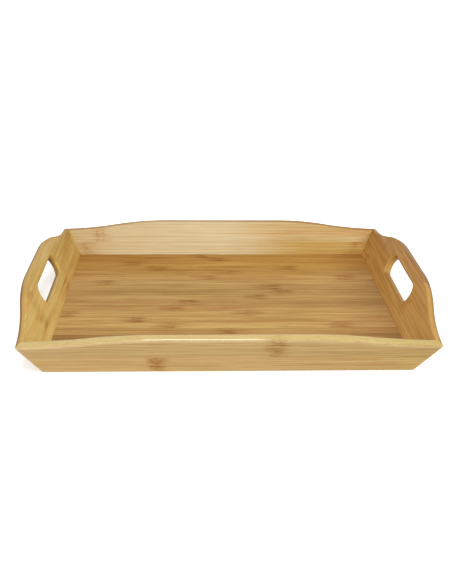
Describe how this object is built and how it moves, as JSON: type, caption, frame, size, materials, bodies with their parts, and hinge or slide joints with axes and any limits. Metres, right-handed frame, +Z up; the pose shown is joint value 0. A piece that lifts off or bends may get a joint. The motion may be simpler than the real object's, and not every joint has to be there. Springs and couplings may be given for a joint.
{
  "type": "serving tray",
  "caption": "Rectangular butler's serving tray with splayed, mitred boards, curved rims and a hand slot in each end board.",
  "frame": {"origin": "middle of the rectangle that the tray stands on, at table height", "axes": "+X along the tray from hand slot to hand slot, +Y across it, +Z up"},
  "size_m": [0.4988, 0.3766, 0.0721],
  "materials": {
    "board_bamboo": "sanded, semi-gloss clear lacquer",
    "floor_bamboo": "sanded, semi-gloss clear lacquer",
    "spline_bamboo": "raw, glued in"
  },
  "bodies": {
    "root": {"back_board_lower_strip": "board_bamboo", "back_board_upper_strip": "board_bamboo", "corner_spline_back_left": "spline_bamboo", "corner_spline_back_right": "spline_bamboo", "corner_spline_front_left": "spline_bamboo", "corner_spline_front_right": "spline_bamboo", "floor_stave_01": "floor_bamboo", "floor_stave_02": "floor_bamboo", "floor_stave_03": "floor_bamboo", "floor_stave_04": "floor_bamboo", "floor_stave_05": "floor_bamboo", "floor_stave_06": "floor_bamboo", "floor_stave_07": "floor_bamboo", "floor_stave_08": "floor_bamboo", "floor_stave_09": "floor_bamboo", "floor_stave_10": "floor_bamboo", "floor_stave_11": "floor_bamboo", "floor_stave_12": "floor_bamboo", "floor_stave_13": "floor_bamboo", "floor_stave_14": "floor_bamboo", "floor_stave_15": "floor_bamboo", "floor_stave_16": "floor_bamboo", "floor_stave_17": "floor_bamboo", "floor_stave_18": "floor_bamboo", "floor_stave_19": "floor_bamboo", "floor_stave_20": "floor_bamboo", "front_board_lower_strip": "board_bamboo", "front_board_upper_strip": "board_bamboo", "left_board_lower_strip": "board_bamboo", "left_board_middle_strip": "board_bamboo", "left_board_upper_strip": "board_bamboo", "right_board_lower_strip": "board_bamboo", "right_board_middle_strip": "board_bamboo", "right_board_upper_strip": "board_bamboo"}
  },
  "joints": []
}
